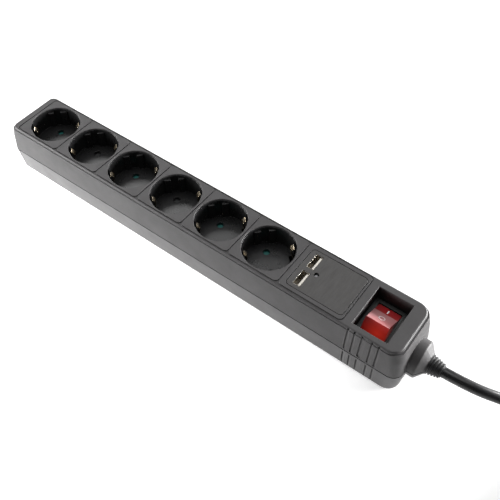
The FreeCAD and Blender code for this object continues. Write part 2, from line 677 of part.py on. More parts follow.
def terminal_places():
    return [(SWITCH_X + dx, PIVOT_Y + dy) for dx in (-6.2, 6.2) for dy in (-7.2, 7.2)]


def switch_terminals():
    """Four tinned blades that come out below the switch."""
    blades = []
    for x, y in terminal_places():
        blades.append(box(x - 0.4, x + 0.4, y - 3.1, y + 3.1, SWITCH_BOTTOM - 7.0, SWITCH_BOTTOM + 2.6))
    return Part.makeCompound(blades)


def rocker():
    """Rocker key with two flats that meet in a low valley, hollow below, on two stub axles."""
    profile = [
        (-11.5, 8.0), (3.8, 7.3), (11.5, 8.0), (11.7, 0.0), (11.6, -5.6), (9.6, -5.9),
        (-9.6, -5.9), (-11.6, -5.6), (-11.7, 0.0),
    ]
    half = ROCKER_WIDTH / 2
    key = prism_x(profile, -half, half)
    crest = [e for e in key.Edges if e.BoundBox.ZMin > 7.9]
    key = key.makeFillet(0.5, crest)
    for side in (-1, 1):
        bevel = [V(side * (half - 0.9), -13, 8.6), V(side * (half + 0.1), -13, 8.6)]
        bevel.append(V(side * (half + 0.1), -13, 6.9))
        key = key.cut(Part.Face(Part.makePolygon(bevel + bevel[:1])).extrude(V(0, 26, 0)))
    hollow = [(-10.0, 5.6), (10.0, 5.6), (10.0, -7.0), (-10.0, -7.0)]
    key = key.cut(prism_x(hollow, -half + 1.6, half - 1.6))
    for side in (-1, 1):
        stub = Part.makeCylinder(1.5, 1.1, V(side * (half - 0.1), 0, 0), V(side, 0, 0))
        key = joined([key, stub])
    key.rotate(V(0, 0, 0), ALONG, -ROCKER_TILT)
    key.translate(V(SWITCH_X, PIVOT_Y, PIVOT_Z))
    return key


def switch_lamp():
    """Small glow lamp lying across the floor of the switch."""
    z = SWITCH_BOTTOM + 4.0
    return Part.makeCylinder(2.2, 11.0, V(SWITCH_X - 5.5, PIVOT_Y, z), ALONG)


# ---------------------------------------------------------------- cord and wiring


def strain_relief():
    """Rubber sleeve: flange held in the boss, then a short ringed taper outside it."""
    inside = [(RIGHT - 1.9, 6.1), (RIGHT + 1.1, 6.1), (RIGHT + 1.1, 9.1)]
    inside += [(RIGHT + 3.7, 9.1), (RIGHT + 3.7, 7.0)]
    rings = [(NOSE, 7.0), (NOSE + 0.1, 7.3)]
    count = 5
    step = RELIEF_LENGTH / count
    for i in range(count):
        x = NOSE + step * i
        radius = 7.3 - 1.7 * i / (count - 1)
        rings += [(x + 0.35, radius), (x + 1.15, radius - 0.1)]
        rings += [(x + 1.35, radius - 0.9), (x + step - 0.05, radius - 1.0)]
    rings.append((CORD_START, CORD_R + 0.3))
    sleeve = turned(inside + rings, SPLIT_Z)
    return sleeve.cut(turned([(RIGHT - 3.0, CORD_R), (NOSE, CORD_R)], SPLIT_Z))


def inner_cord():
    """The stretch of cord inside the sleeve and under the clamp."""
    return turned([(CORD_INSIDE, CORD_R), (NOSE, CORD_R)], SPLIT_Z)


def cord_clamp():
    top = SPLIT_Z + CORD_R + 2.4
    bar = box(CLAMP_X - 2.25, CLAMP_X + 2.25, -11.5, 11.5, SPLIT_Z + 0.2, top)
    bar = bar.cut(turned([(CLAMP_X - 4.0, CORD_R), (CLAMP_X + 4.0, CORD_R)], SPLIT_Z))
    for side in (-1, 1):
        bar = bar.cut(rod(1.5, SPLIT_Z - 1, top + 1, CLAMP_X, side * CLAMP_SCREW_Y))
    return bar


def clamp_screws():
    screws = []
    top = SPLIT_Z + CORD_R + 2.4
    for side in (-1, 1):
        y = side * CLAMP_SCREW_Y
        head = rod(2.5, top, top + 1.8, CLAMP_X, y)
        screws.append(joined([head, rod(1.2, SPLIT_Z - 9, top, CLAMP_X, y)]))
    return Part.makeCompound(screws)


def wires():
    """Insulated wires from the cord to the switch, and from the switch to the bars."""
    start, z = CORD_INSIDE, SPLIT_Z
    gap = (start + SWITCH_X + SWITCH_CLEAR_X + 1.2) / 2
    low = 4.7
    tip = SWITCH_BOTTOM - 7.0
    front, back = SWITCH_X + 6.2, SWITCH_X - 6.2
    far, near = PIVOT_Y + 7.2, PIVOT_Y - 7.2
    routes = {
        "wire_live_in": [(start, 2.0, z + 0.6), (gap, 3.4, z - 2.0), (gap - 0.2, far - 0.6, z - 12.0),
                         (gap - 1.6, far, low), (front, far, low + 0.1), (front, far, tip)],
        "wire_neutral_in": [(start, -2.0, z + 0.6), (gap, -3.4, z - 2.0),
                            (gap - 0.2, near + 0.6, z - 12.0), (gap - 1.6, near, low),
                            (front, near, low + 0.1), (front, near, tip)],
        "wire_earth": [(start, 0.0, z - 2.1), (gap, 0.2, z - 5.0), (gap - 0.2, 0.2, 9.0),
                       (gap - 5.0, 0.4, 4.4), (back, 0.2, low), (BAR_END + 4.0, 0.0, 6.4),
                       (BAR_END, 0.0, 6.7)],
        "wire_live_out": [(back, far, tip), (back, far, low), (back - 6.0, far - 0.2, low - 0.3),
                          (BAR_END + 3.0, PIN_Y, 8.2), (BAR_END, PIN_Y, 9.4)],
        "wire_neutral_out": [(back, near, tip), (back, near, low), (back - 6.0, near + 0.3, low - 0.3),
                             (BAR_END + 3.0, -PIN_Y, 8.2), (BAR_END, -PIN_Y, 9.4)],
    }
    return {name: tube(points, 1.1) for name, points in routes.items()}


def lead_route():
    """From the strain relief, sagging to the floor, to the outer turn of the hank."""
    x = FIRST_SOCKET
    return [
        (CORD_START, 0.0, SPLIT_Z),
        (x + 376.0, 1.2, 21.8),
        (x + 395.0, 9.0, 15.9),
        (x + 414.0, 18.0, 8.4),
        (x + 435.0, 22.2, TIE_THICK + CORD_R),
        (x + 456.0, 22.3, TIE_THICK + CORD_R),
    ]


def tail_route():
    """From the top of the hank, once round its far end on a third layer, to the neck of the plug."""
    heading = math.radians(PLUG_HEADING)
    reach = HANK_OUTER_TURN * math.tan(math.radians(22.5))
    turn = HANK_OUTER_TURN
    points = [
        (-40.0, turn, HANK_TOP - 0.3),
        (-15.0, turn + 0.2, THIRD_LAYER - 0.8),
        (reach, turn, THIRD_LAYER),
        (turn, reach, THIRD_LAYER),
        (turn, -reach, THIRD_LAYER),
        (reach, -turn, THIRD_LAYER),
        (-12.0, -turn, THIRD_LAYER + 0.3),
        (-28.5, -23.0, THIRD_LAYER + 2.2),
        (-45.0, -14.6, THIRD_LAYER + 5.4),
    ]
    route = [(HANK_RIGHT + x, HANK_Y + y, z) for x, y, z in points]
    neck_x = PLUG_X + PLUG_NECK * math.cos(heading)
    neck_y = HANK_Y + PLUG_NECK * math.sin(heading)
    return route + [(neck_x, neck_y, HANK_TOP + PLUG_NECK_Z)]


def ring_round(inner, outer, z0, z1):
    """Long ring about the two fold centres of the hank, between two radii."""
    rings = []
    for radius in (outer, inner):
        rings.append(slab(HANK_LEFT - radius, HANK_RIGHT + radius, radius, radius - 0.001, z0, z1, HANK_Y))
    return rings[0].cut(rings[1])


def cord_hank():
    """Outer shape of the folded cord: two turns side by side on the ties, and a second layer on them."""
    return ring_round(HANK_INNER_TURN - CORD_R, HANK_OUTER_TURN + CORD_R, TIE_THICK, HANK_TOP)


def cord_ties():
    """A flat band round each long side of the hank."""
    bands = []
    y0, y1 = HANK_INNER_TURN - CORD_R, HANK_OUTER_TURN + CORD_R
    for x, side in ((HANK_LEFT + 4.0, 1), (HANK_LEFT + 32.0, -1)):
        low, high = sorted((HANK_Y + side * y0, HANK_Y + side * y1))
        band = box(x, x + TIE_WIDTH, low - TIE_THICK, high + TIE_THICK, 0.0, HANK_TOP + TIE_THICK)
        along = [e for e in band.Edges if e.BoundBox.XLength > TIE_WIDTH - 0.01]
        band = band.makeFillet(TIE_THICK, along)
        bands.append(band.cut(box(x - 1, x + TIE_WIDTH + 1, low, high, TIE_THICK, HANK_TOP)))
    return Part.makeCompound(bands)


def placed_plug(shape):
    """Moves a plug piece made about the origin to its place on the hank, on its back, pins up."""
    shape.rotate(V(0, 0, 0), UP, PLUG_HEADING)
    shape.translate(V(PLUG_X, HANK_Y, HANK_TOP))
    return shape


def plug_body():
    """Angled plug about the origin: round head on its flat back, with a tapered neck towards the cord."""
    head = rod(PLUG_RADIUS, 0.0, PLUG_HEIGHT)
    head = head.makeFillet(2.0, [e for e in head.Edges if e.BoundBox.ZMax < 0.01])
    head = head.makeFillet(0.8, [e for e in head.Edges if e.BoundBox.ZMin > PLUG_HEIGHT - 0.01])
    taper = 3.4 / (PLUG_NECK - 12.0)
    profile = [(12.0, 9.0)]
    for i in range(5):
        x = 24.0 + 3.4 * i
        radius = 9.0 - taper * (x - 12.0)
        profile += [(x, radius), (x + 0.3, radius - 0.9)]
        profile += [(x + 1.5, radius - 1.0), (x + 1.8, radius - 0.2)]
    profile.append((PLUG_NECK, 5.6))
    body = joined([head, turned(profile, PLUG_NECK_Z)])
    body = body.cut(Part.makeCylinder(CORD_R, 10.0, V(PLUG_NECK - 3.0, 0, PLUG_NECK_Z), ALONG))
    body = joined([body, Part.makeCylinder(CORD_R, 3.0, V(PLUG_NECK - 3.0, 0, PLUG_NECK_Z), ALONG)])
    for side in (-1, 1):
        y0, y1 = sorted((side * 16.3, side * 20.0))
        for x in (-KEY_OFFSET, KEY_OFFSET):
            half = KEY_WIDTH / 2 + 0.5
            body = body.cut(box(x - half, x + half, y0, y1, 7.0, PLUG_HEIGHT + 1))
        x0, x1 = sorted((side * 16.0, side * 20.0))
        depth = 11.0 if side < 0 else 3.0
        body = body.cut(box(x0, x1, -2.6, 2.6, PLUG_HEIGHT - depth, PLUG_HEIGHT + 1))
        body = body.cut(rod(PLUG_PIN_ROOT, PLUG_HEIGHT - 10, PLUG_HEIGHT + 1, 0, side * PIN_OFFSET))
    return placed_plug(body)


def plug_pins():
    pins = []
    for side in (-1, 1):
        y = side * PIN_OFFSET
        pin = rod(PLUG_PIN_RADIUS, PLUG_HEIGHT, PLUG_HEIGHT + 19.0, 0, y)
        pin = pin.makeFillet(1.2, [e for e in pin.Edges if e.BoundBox.ZMin > PLUG_HEIGHT + 18.9])
        pins.append(joined([pin, rod(PLUG_PIN_ROOT, PLUG_HEIGHT - 10, PLUG_HEIGHT, 0, y)]))
    return placed_plug(Part.makeCompound(pins))


def plug_earth_contacts():
    strips = [
        box(-17.3, -16.0, -2.4, 2.4, PLUG_HEIGHT - 11.0, PLUG_HEIGHT - 0.2),
        box(16.0, 17.3, -2.4, 2.4, PLUG_HEIGHT - 3.0, PLUG_HEIGHT - 0.2),
    ]
    return placed_plug(Part.makeCompound(strips))


def build():
    """All pieces by node name."""
    pieces = {
        "upper_housing": upper_housing(),
        "lower_housing": lower_housing(),
        "housing_screws": housing_screws(),
        "live_busbar": pin_busbar(1),
        "neutral_busbar": pin_busbar(-1),
        "earth_busbar": earth_busbar(),
        "usb_cover_plate": usb_cover_plate(),
        "usb_circuit_board": usb_circuit_board(),
        "usb_board_parts": usb_board_parts(),
        "usb_board_screws": usb_board_screws(),
        "usb_contacts": usb_contacts(),
        "status_led": status_led(),
        "switch_frame": switch_frame(),
        "switch_terminals": switch_terminals(),
        "switch_lamp": switch_lamp(),
        "rocker": rocker(),
        "strain_relief": strain_relief(),
        "inner_cord": inner_cord(),
        "cord_clamp": cord_clamp(),
        "clamp_screws": clamp_screws(),
        "cord_lead": tube(lead_route(), CORD_R, "cord_lead"),
        "cord_tail": tube(tail_route(), CORD_R, "cord_tail"),
        "cord_hank": cord_hank(),
        "cord_ties": cord_ties(),
        "plug_body": plug_body(),
        "plug_pins": plug_pins(),
        "plug_earth_contacts": plug_earth_contacts(),
    }
    pieces.update(wires())
    springs = []
    for number, x in enumerate(SOCKETS, start=1):
        pieces["socket_cup_%d" % number] = turned_45(socket_cup(), x)
        pieces["shutter_%d" % number] = turned_45(shutter(), x)
        pieces["earth_clip_%d" % number] = turned_45(earth_clip(), x)
        springs.append(turned_45(shutter_spring(), x))
    pieces["shutter_springs"] = Part.makeCompound(springs)
    for number, side in ((1, 1), (2, -1)):
        pieces["usb_shell_%d" % number] = usb_shell(side)
        pieces["usb_tongue_%d" % number] = usb_tongue(side)
    return pieces


os.makedirs("parts", exist_ok=True)
for name, shape in build().items():
    shape.exportStep("parts/%s.step" % name)
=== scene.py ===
"""Power strip with a soft cord: looks, cord, marks, lights and camera."""
import bpy, bmesh, json, math
from mathutils import Matrix, Vector


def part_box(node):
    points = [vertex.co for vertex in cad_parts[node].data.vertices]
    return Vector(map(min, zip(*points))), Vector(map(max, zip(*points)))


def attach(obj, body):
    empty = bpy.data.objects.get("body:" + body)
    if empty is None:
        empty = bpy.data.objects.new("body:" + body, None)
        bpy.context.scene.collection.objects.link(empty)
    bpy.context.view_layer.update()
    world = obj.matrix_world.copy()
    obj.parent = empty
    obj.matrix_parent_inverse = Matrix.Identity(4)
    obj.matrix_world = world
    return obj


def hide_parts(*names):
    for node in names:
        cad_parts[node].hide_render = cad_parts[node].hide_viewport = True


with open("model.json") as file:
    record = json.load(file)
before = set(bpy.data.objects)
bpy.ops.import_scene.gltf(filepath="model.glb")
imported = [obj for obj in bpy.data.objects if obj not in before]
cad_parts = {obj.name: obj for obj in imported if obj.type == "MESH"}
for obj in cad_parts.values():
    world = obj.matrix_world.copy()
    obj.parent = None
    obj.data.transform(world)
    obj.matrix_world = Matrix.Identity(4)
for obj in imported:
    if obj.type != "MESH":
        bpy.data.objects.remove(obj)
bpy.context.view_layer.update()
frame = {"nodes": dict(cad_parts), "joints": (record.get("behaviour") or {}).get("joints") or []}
nodes = frame["nodes"]


def centre(node):
    low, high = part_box(node)
    return (low + high) / 2


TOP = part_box("upper_housing")[1].z
FIRST_X = centre("socket_cup_1").x
MM = 0.001
# Just below the lip of the lower shell; above it the lower shell is painted near black as shade in the seam
# gap
SEAM_LOW = 0.0215
# Walls of the switch recess, from the first socket and from the middle line; the housing inside them gets
# painted shade with depth
RECESS_LEFT, RECESS_RIGHT = 0.2943, 0.3203
RECESS_NEAR, RECESS_FAR = -0.018, 0.0172
# The rocker as it lies at rest; its half length, the line where its two faces meet and their heights above
# the axle are in millimetres before the tilt
ROCKER_PIVOT = Vector(frame["joints"][0]["pos_m"])
ROCKER_TILT = Matrix.Rotation(math.radians(-28.0), 4, "X")
ROCKER_HALF = 11.5
ROCKER_HEIGHT = 8.0
VALLEY_Y = 3.8
VALLEY_HEIGHT = 7.3


# ---------------------------------------------------------------- camera

def make_camera():
    """Standing in front of the strip, to the right, looking down along it."""
    right = Vector((0.8013, 0.5983, -0.0058)).normalized()
    ahead = Vector((-0.3687, 0.4861, -0.7924)).normalized()
    up = right.cross(ahead).normalized()
    right = ahead.cross(up)
    place = Vector((FIRST_X + 0.3819, -0.2421, TOP + 0.3787))
    data = bpy.data.cameras.new("camera")
    data.lens = 49.16
    data.sensor_width = 36.0
    data.clip_start = 0.01
    camera = bpy.data.objects.new("camera", data)
    bpy.context.scene.collection.objects.link(camera)
    camera.matrix_world = Matrix((
        (right.x, up.x, -ahead.x, place.x),
        (right.y, up.y, -ahead.y, place.y),
        (right.z, up.z, -ahead.z, place.z),
        (0.0, 0.0, 0.0, 1.0),
    ))
    bpy.context.scene.camera = camera


# ---------------------------------------------------------------- node helpers

def new_material(name):
    material = bpy.data.materials.new(name)
    material.use_nodes = True
    tree = material.node_tree
    return material, tree, tree.nodes["Principled BSDF"]


def noise(tree, size, detail=3.0, roughness=0.5, stretch=(1, 1, 1)):
    """Noise with features about size metres across, on the object's own coordinates."""
    coords = tree.nodes.new("ShaderNodeTexCoord")
    mapping = tree.nodes.new("ShaderNodeMapping")
    mapping.inputs["Scale"].default_value = [s / size for s in stretch]
    texture = tree.nodes.new("ShaderNodeTexNoise")
    texture.inputs["Scale"].default_value = 1.0
    texture.inputs["Detail"].default_value = detail
    texture.inputs["Roughness"].default_value = roughness
    tree.links.new(coords.outputs["Object"], mapping.inputs["Vector"])
    tree.links.new(mapping.outputs["Vector"], texture.inputs["Vector"])
    return texture.outputs["Fac"]


def axis_of(tree, axis):
    """One of the object's own coordinates, in metres."""
    coords = tree.nodes.new("ShaderNodeTexCoord")
    split = tree.nodes.new("ShaderNodeSeparateXYZ")
    tree.links.new(coords.outputs["Object"], split.inputs["Vector"])
    return split.outputs[axis]


def ramp(tree, source, low, high, start=0.3, end=0.7):
    """Maps a value to a grey or colour range."""
    node = tree.nodes.new("ShaderNodeMapRange")
    node.inputs["From Min"].default_value = start
    node.inputs["From Max"].default_value = end
    node.inputs["To Min"].default_value = low
    node.inputs["To Max"].default_value = high
    tree.links.new(source, node.inputs["Value"])
    return node.outputs["Result"]


def product(tree, first, *others):
    """The factors multiplied together."""
    for other in others:
        both = tree.nodes.new("ShaderNodeMath")
        both.operation = "MULTIPLY"
        tree.links.new(first, both.inputs[0])
        tree.links.new(other, both.inputs[1])
        first = both.outputs["Value"]
    return first


def blend_colours(tree, factor, first, second):
    node = tree.nodes.new("ShaderNodeMix")
    node.data_type = "RGBA"
    for socket, colour in ((node.inputs[6], first), (node.inputs[7], second)):
        if isinstance(colour, bpy.types.NodeSocket):
            tree.links.new(colour, socket)
        else:
            socket.default_value = (*colour, 1.0)
    tree.links.new(factor, node.inputs[0])
    return node.outputs[2]


def edge_mask(tree, radius):
    """1 on sharp edges, fading to 0 over the radius, from how far a rounded normal turns away."""
    soft = tree.nodes.new("ShaderNodeBevel")
    soft.samples = 4
    soft.inputs["Radius"].default_value = radius
    plain = tree.nodes.new("ShaderNodeNewGeometry")
    dot = tree.nodes.new("ShaderNodeVectorMath")
    dot.operation = "DOT_PRODUCT"
    tree.links.new(soft.outputs["Normal"], dot.inputs[0])
    tree.links.new(plain.outputs["Normal"], dot.inputs[1])
    return ramp(tree, dot.outputs["Value"], 1.0, 0.0, 0.85, 0.995)


def bump(tree, shader, layers, rounding=0.0):
    """Stacks bump layers, each (height source, depth in metres), over a slightly rounded normal."""
    normal = None
    if rounding:
        soft = tree.nodes.new("ShaderNodeBevel")
        soft.samples = 4
        soft.inputs["Radius"].default_value = rounding
        normal = soft.outputs["Normal"]
    for source, depth in layers:
        node = tree.nodes.new("ShaderNodeBump")
        node.inputs["Strength"].default_value = 1.0
        node.inputs["Distance"].default_value = depth
        tree.links.new(source, node.inputs["Height"])
        if normal:
            tree.links.new(normal, node.inputs["Normal"])
        normal = node.outputs["Normal"]
    tree.links.new(normal, shader.inputs["Normal"])


def plastic(name, colour, lighter, rough=(0.4, 0.55), grain=0.0004, depth=0.00002, rounding=0.0003,
            edge=0.35, cloud=0.03, specular=0.5, coat=0.0, painted_seam_shade_above=None, pit=None,
            stretch=(1, 1, 1)):
    """Moulded plastic: fine spark-eroded grain, faint clouding, and edges rubbed a little lighter.

    Above the height given for the seam it is near black: painted shade in the gap at the seam. Inside the box
    pit, from (low x, low y) to (high x, high y) below its top, the walls get darker with depth: painted shade
    in the recess.
    """
    material, tree, shader = new_material(name)
    clouds = ramp(tree, noise(tree, cloud, 6.0, 0.7, stretch), 0.0, 1.0)
    base = blend_colours(tree, clouds, colour, lighter)
    if edge:
        patches = ramp(tree, noise(tree, 0.006, 5.0), 0.15 * edge, edge)
        scuffs = product(tree, edge_mask(tree, 0.0006), patches)
        wear_and_glare_colour = [min(1.0, c * 2.2 + 0.02) for c in lighter]
        base = blend_colours(tree, scuffs, base, wear_and_glare_colour)
    # Painted shade: near black above this height, standing in for the shade in the seam gap
    if painted_seam_shade_above:
        height = ramp(tree, axis_of(tree, 2), 0.0, 1.0, painted_seam_shade_above, painted_seam_shade_above + 0.00005)
        base = blend_colours(tree, height, base, (0.002, 0.002, 0.002))
    roughness = ramp(tree, noise(tree, 0.011, 5.0, 0.6), rough[0], rough[1])
    # Painted shade: the recess walls darken with depth inside the pit box
    if pit:
        low, high, top = pit
        painted_recess_shade = ramp(tree, axis_of(tree, 2), 0.0, 1.0, top, top - 0.005)
        for axis in (0, 1):
            after = ramp(tree, axis_of(tree, axis), 0.0, 1.0, low[axis] - 0.0005, low[axis])
            before = ramp(tree, axis_of(tree, axis), 1.0, 0.0, high[axis], high[axis] + 0.0005)
            painted_recess_shade = product(tree, painted_recess_shade, after, before)
        base = blend_colours(tree, painted_recess_shade, base, (0.004, 0.004, 0.004))
    tree.links.new(base, shader.inputs["Base Color"])
    tree.links.new(roughness, shader.inputs["Roughness"])
    shader.inputs["Specular IOR Level"].default_value = specular
    shader.inputs["Coat Weight"].default_value = coat
    shader.inputs["Coat Roughness"].default_value = 0.12
    bump(tree, shader, [(noise(tree, grain, 2.0), depth), (noise(tree, 0.004, 2.0), depth * 0.6)], rounding)
    return material


def metal(name, colour, darker, rough=(0.18, 0.4), brush=(1, 1, 1), grain=0.0006, depth=0.000004):
    """Rolled or plated metal with fine drawn lines and a patchy tarnish."""
    material, tree, shader = new_material(name)
    patches = ramp(tree, noise(tree, 0.004, 5.0, 0.6), 0.0, 1.0, 0.35, 0.75)
    tree.links.new(blend_colours(tree, patches, colour, darker), shader.inputs["Base Color"])
    shader.inputs["Metallic"].default_value = 1.0
    tree.links.new(ramp(tree, noise(tree, 0.002, 4.0), rough[0], rough[1]), shader.inputs["Roughness"])
    bump(tree, shader, [(noise(tree, grain, 3.0, 0.6, brush), depth)], 0.00015)
    return material


def rubber(name, colour, lighter, rough=(0.3, 0.45), grain=0.0005, depth=0.000015, rounding=0.0):
    material, tree, shader = new_material(name)
    dust = ramp(tree, noise(tree, 0.012, 6.0, 0.65), 0.0, 1.0, 0.4, 0.8)
    tree.links.new(blend_colours(tree, dust, colour, lighter), shader.inputs["Base Color"])
    tree.links.new(ramp(tree, noise(tree, 0.007, 4.0), rough[0], rough[1]), shader.inputs["Roughness"])
    bump(tree, shader, [(noise(tree, grain, 2.0), depth)], rounding)
    return material


def lit_plastic(name, colour, deeper, rough=(0.12, 0.22), glow=None, painted_glare=None):
    """Clear tinted plastic with light scattered inside it; glow is (colour, strength, centre, reach).

    The last argument is (colour, a point of the glaring face, its normal, the y where it ends): a pale colour
    painted on that face as painted glare.
    """
    material, tree, shader = new_material(name)
    depth = ramp(tree, noise(tree, 0.01, 3.0), 0.0, 1.0)
    base = blend_colours(tree, depth, colour, deeper)
    if painted_glare:
        # Painted glare: a pale, patchy colour on one face of the rocker where light glances off it
        wear_and_glare_colour, point, normal, end = painted_glare
        coords = tree.nodes.new("ShaderNodeTexCoord")
        above = tree.nodes.new("ShaderNodeVectorMath")
        above.operation = "DOT_PRODUCT"
        above.inputs[1].default_value = normal
        tree.links.new(coords.outputs["Object"], above.inputs[0])
        level = Vector(point).dot(normal)
        on_face = ramp(tree, above.outputs["Value"], 0.0, 1.0, level - 0.0002, level - 0.00005)
        this_half = ramp(tree, axis_of(tree, 1), 1.0, 0.0, end - 0.0002, end)
        patchy = ramp(tree, noise(tree, 0.005, 4.0), 0.75, 1.0)
        base = blend_colours(tree, product(tree, on_face, this_half, patchy), base, wear_and_glare_colour)
    tree.links.new(base, shader.inputs["Base Color"])
    tree.links.new(ramp(tree, noise(tree, 0.005, 4.0), rough[0], rough[1]), shader.inputs["Roughness"])
    if glow:
        tint, strength, middle, reach = glow
        coords = tree.nodes.new("ShaderNodeTexCoord")
        distance = tree.nodes.new("ShaderNodeVectorMath")
        distance.operation = "DISTANCE"
        distance.inputs[1].default_value = middle
        tree.links.new(coords.outputs["Object"], distance.inputs[0])
        shader.inputs["Emission Color"].default_value = (*tint, 1.0)
        fade = ramp(tree, distance.outputs["Value"], strength, 0.0, 0.0, reach)
        tree.links.new(fade, shader.inputs["Emission Strength"])
    shader.inputs["Coat Weight"].default_value = 1.0
    shader.inputs["Coat Roughness"].default_value = 0.45
    shader.inputs["Sheen Weight"].default_value = 0.15
    shader.inputs["Sheen Roughness"].default_value = 0.4
    bump(tree, shader, [(noise(tree, 0.003, 2.0), 0.00001)], 0.0003)
    return material


def dress(material, *names):
    """Puts one material on CAD nodes or pieces."""
    for name in names:
        target = nodes.get(name) or bpy.data.objects[name]
        target.data.materials.clear()
        target.data.materials.append(material)


# ---------------------------------------------------------------- cord

# Millimetres from the first socket, the middle line and the floor
CORD_DIAMETER = 7.8
FLOOR_LAYER = 4.6
LEAD = ((356.0, 0.0, 22.6), (376.0, 1.2, 21.8), (395.0, 9.0, 15.9), (414.0, 18.0, 8.4), (435.0, 22.2, 4.6))
HANK_LEFT, HANK_RUN, HANK_Y = 462.0, 88.0, -9.0
INNER_TURN, OUTER_TURN = 23.5, 31.3
HANK_END = 3.44
ARC_POINTS = 6
# From the end of the hank's run to the neck of the plug that lies on it
TAIL = ((3.0, -32.4, 20.3), (-14.0, -30.4, 20.6), (-30.0, -21.5, 22.4), (-45.0, -14.6, 25.8),
        (-61.43, -10.87, 28.3), (-65.3, -9.84, 28.3))


def eased(value, start, end):
    """0 before start, 1 after end, and a smooth step between."""
    t = min(1.0, max(0.0, (value - start) / (end - start)))
    return t * t * (3.0 - 2.0 * t)


def hank_points():
    """Long turns about two fold centres: outer, then inner on the floor, then inner and outer on top."""
    arc = math.pi * (INNER_TURN + OUTER_TURN) / 2
    lap = 2 * HANK_RUN + 2 * arc
    stretch = 2.0 / (1.0 + math.cos(math.pi / ARC_POINTS / 2))
    along = (0.08, 0.36, 0.64, 0.92)
    round_end = [(i + 0.5) / ARC_POINTS for i in range(ARC_POINTS)]
    far = HANK_LEFT + HANK_RUN
    points = []
    for turn in range(math.ceil(HANK_END)):
        stations = [("run", f, 1, f * HANK_RUN) for f in along]
        stations += [("arc", f, 1, HANK_RUN + f * arc) for f in round_end]
        stations += [("run", f, -1, HANK_RUN + arc + f * HANK_RUN) for f in along]
        stations += [("arc", f, -1, 2 * HANK_RUN + arc + f * arc) for f in round_end]
        for kind, share, side, distance in stations:
            turns = turn + distance / lap
            if turns > HANK_END:
                return points
            radius = OUTER_TURN - CORD_DIAMETER * (eased(turns, 0.70, 0.98) - eased(turns, 2.26, 2.54))
            height = FLOOR_LAYER + CORD_DIAMETER * (eased(turns, 1.56, 1.84) + eased(turns, 3.0, 3.28))
            if kind == "run":
                x = HANK_LEFT + share * HANK_RUN if side > 0 else far - share * HANK_RUN
                points.append((x, HANK_Y + side * radius, height))
            else:
                angle = side * math.pi / 2 - share * math.pi
                middle = far if side > 0 else HANK_LEFT
                reach = stretch * radius
                x = middle + reach * math.cos(angle)
                points.append((x, HANK_Y + reach * math.sin(angle), height))
    return points


def make_cord():
    far = HANK_LEFT + HANK_RUN
    tail = [(far + x, HANK_Y + y, z) for x, y, z in TAIL]
    route = list(LEAD) + hank_points() + tail
    data = bpy.data.curves.new("cord", "CURVE")
    data.dimensions = "3D"
    data.bevel_depth = 1.0
    data.bevel_resolution = 5
    data.resolution_u = 6
    data.use_fill_caps = True
    spline = data.splines.new("NURBS")
    spline.points.add(len(route) - 1)
    for point, (x, y, z) in zip(spline.points, route):
        point.co = (FIRST_X + x * MM, y * MM, z * MM, 1.0)
        point.radius = CORD_DIAMETER / 2 * MM
    spline.order_u = 3
    spline.use_endpoint_u = True
    cord = bpy.data.objects.new("cord", data)
    bpy.context.scene.collection.objects.link(cord)
    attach(cord, "strip")
    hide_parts("cord_lead", "cord_hank", "cord_tail")
    return cord


# ---------------------------------------------------------------- stage and light

WORLD_GLOW = 0.10
FLOOR_GLOW = 0.25
# Light coming up through the paper along the near side: strength at the strip and how far it reaches
SIDE_GLOW = 2.5
SIDE_REACH = 0.06
# Name, place, what it points at, width and height, power in watts
LIGHTS = (
    ("overhead", (-0.2, 0.2, 1.6), (-0.1, 0.0, 0.0), (1.6, 1.2), 13.0),
    ("left_front", (-0.60, -0.42, 0.16), (-0.22, 0.0, 0.0), (0.4, 0.3), 8.0),
    ("right_end", (0.66, 0.60, 0.13), (0.19, 0.0, 0.03), (0.5, 0.24), 27.0),
    ("back_left", (-1.1, 0.9, 1.05), (-0.1, 0.0, 0.0), (0.9, 0.9), 12.0),
)


def make_stage():
    mesh = bpy.data.meshes.new("floor")
    half = 6.0
    corners = [(-half, -half, 0), (half, -half, 0), (half, half, 0), (-half, half, 0)]
    mesh.from_pydata(corners, [], [(0, 1, 2, 3)])
    floor = bpy.data.objects.new("floor", mesh)
    bpy.context.scene.collection.objects.link(floor)
    material, tree, shader = new_material("floor_paper")
    tint = ramp(tree, noise(tree, 0.4, 2.0), 0.0, 1.0)
    paper = blend_colours(tree, tint, (0.9, 0.9, 0.9), (0.93, 0.93, 0.93))
    tree.links.new(paper, shader.inputs["Base Color"])
    shader.inputs["Roughness"].default_value = 0.9
    shader.inputs["Specular IOR Level"].default_value = 0.1
    shader.inputs["Emission Color"].default_value = (1.0, 1.0, 1.0, 1.0)
    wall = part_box("lower_housing")[0].y
    near = ramp(tree, axis_of(tree, 1), 0.0, SIDE_GLOW, wall - SIDE_REACH, wall)
    in_front = ramp(tree, axis_of(tree, 1), 1.0, 0.0, wall, 0.0)
    along = ramp(tree, axis_of(tree, 0), 1.0, 0.0, -0.20, 0.20)
    glow = tree.nodes.new("ShaderNodeMath")
    glow.operation = "ADD"
    tree.links.new(product(tree, near, in_front, along), glow.inputs[0])
    glow.inputs[1].default_value = FLOOR_GLOW
    tree.links.new(glow.outputs["Value"], shader.inputs["Emission Strength"])
    mesh.materials.append(material)


def area_light(name, place, target, size, power):
    data = bpy.data.lights.new(name, "AREA")
    data.shape = "RECTANGLE"
    data.size, data.size_y = size
    data.energy = power
    light = bpy.data.objects.new(name, data)
    bpy.context.scene.collection.objects.link(light)
    light.location = place
    light.rotation_euler = (Vector(target) - Vector(place)).to_track_quat("-Z", "Y").to_euler()
    light.visible_camera = False


def make_light():
    world = bpy.data.worlds.new("world")
    bpy.context.scene.world = world
    world.use_nodes = True
    background = world.node_tree.nodes["Background"]
    background.inputs["Color"].default_value = (1.0, 1.0, 1.0, 1.0)
    background.inputs["Strength"].default_value = WORLD_GLOW
    for light in LIGHTS:
        area_light(*light)
    bpy.context.scene.view_settings.view_transform = "Standard"


# ---------------------------------------------------------------- marks on the rocker

